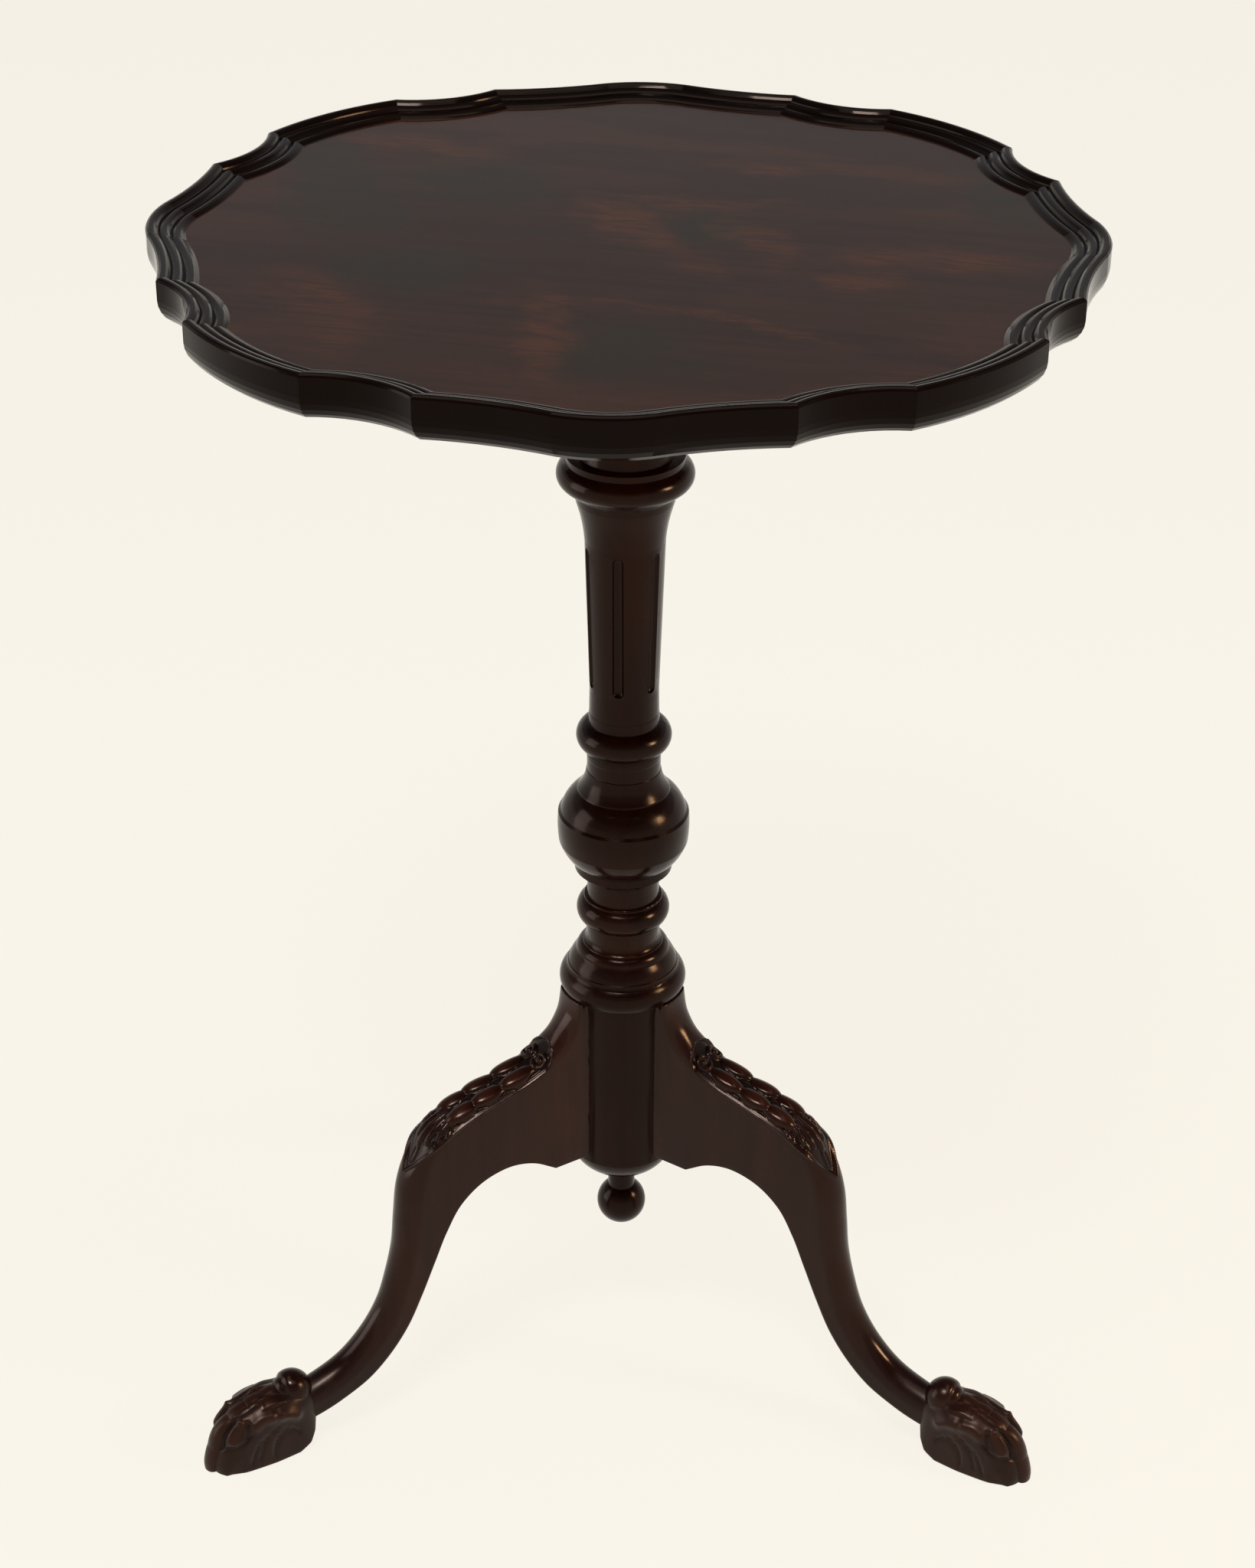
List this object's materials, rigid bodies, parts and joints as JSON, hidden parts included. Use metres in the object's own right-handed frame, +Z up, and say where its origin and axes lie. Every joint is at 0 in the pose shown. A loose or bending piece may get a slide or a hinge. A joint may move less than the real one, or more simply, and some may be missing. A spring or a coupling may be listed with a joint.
{
  "type": "gueridon table",
  "caption": "Tripod gueridon with a scalloped, stepped-rim tray top that tilts, a turned and fluted column, and cabriole legs on carved claw feet.",
  "frame": {"origin": "on the column's axis, at the floor that the three feet stand on", "axes": "+Z up; -Y towards the hinge side, where the tilted top faces; one leg points to +Y"},
  "size_m": [0.4826, 0.5153, 0.7],
  "materials": {
    "mahogany": "french polished, dark, glossy",
    "bearer_wood": "oiled, satin",
    "brass": "aged, satin",
    "steel": "plain, slightly dull"
  },
  "bodies": {
    "stand": {"column": "mahogany", "block": "mahogany", "tenon_wedge": "mahogany", "pivot_rod": "steel", "pendant_finial": "mahogany", "leg_right": "mahogany", "leg_back": "mahogany", "leg_left": "mahogany", "keeper_plate": "brass", "keeper_screws": "brass"},
    "top": {"tray_top": "mahogany", "bearer_left": "bearer_wood", "bearer_right": "bearer_wood", "bearer_screws": "steel", "catch_case": "brass", "catch_screws": "brass"},
    "catch": {"catch_bolt": "brass", "catch_knob": "brass"}
  },
  "joints": [
    {"name": "top_tilt", "type": "hinge", "parent": "stand", "child": "top", "pos_m": [0, -0.038, 0.662], "axis": [1, 0, 0], "range_deg": [0, 90]},
    {"name": "catch_slide", "type": "slide", "parent": "top", "child": "catch", "axis": [0, -1, 0], "range_m": [0, 0.0085]}
  ]
}
